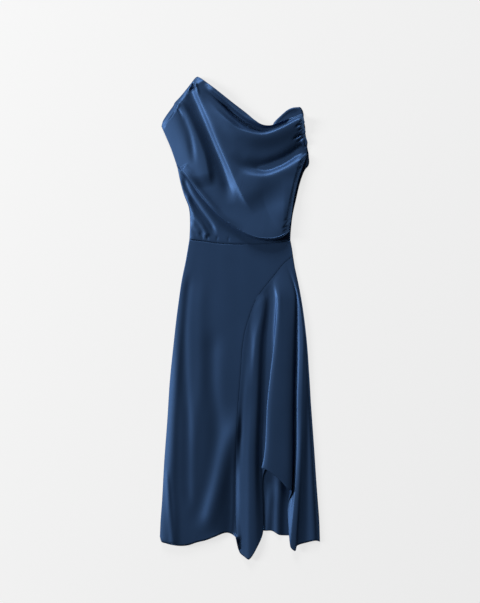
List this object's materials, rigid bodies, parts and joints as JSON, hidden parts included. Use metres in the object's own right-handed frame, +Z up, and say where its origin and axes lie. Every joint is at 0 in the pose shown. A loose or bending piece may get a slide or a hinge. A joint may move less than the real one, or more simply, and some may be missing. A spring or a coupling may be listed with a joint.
{
  "type": "satin dress",
  "caption": "Draped satin midi dress with a cowl bodice, blouson waist and cascading side flounce, laid flat on its back",
  "frame": {"origin": "On the surface that the dress lies on, under the centre of its outline", "axes": "+X to the right as the dress is seen from above, +Y from the hem to the shoulder, +Z up off the surface, out of the front of the dress"},
  "size_m": [0.4322, 1.3, 0.0295],
  "materials": {
    "satin": "dark blue satin, soft sheen along the folds"
  },
  "bodies": {
    "root": {"bodice_back": "satin", "bodice_front": "satin", "skirt_back": "satin", "skirt_front": "satin", "skirt_flounce": "satin"}
  },
  "joints": []
}
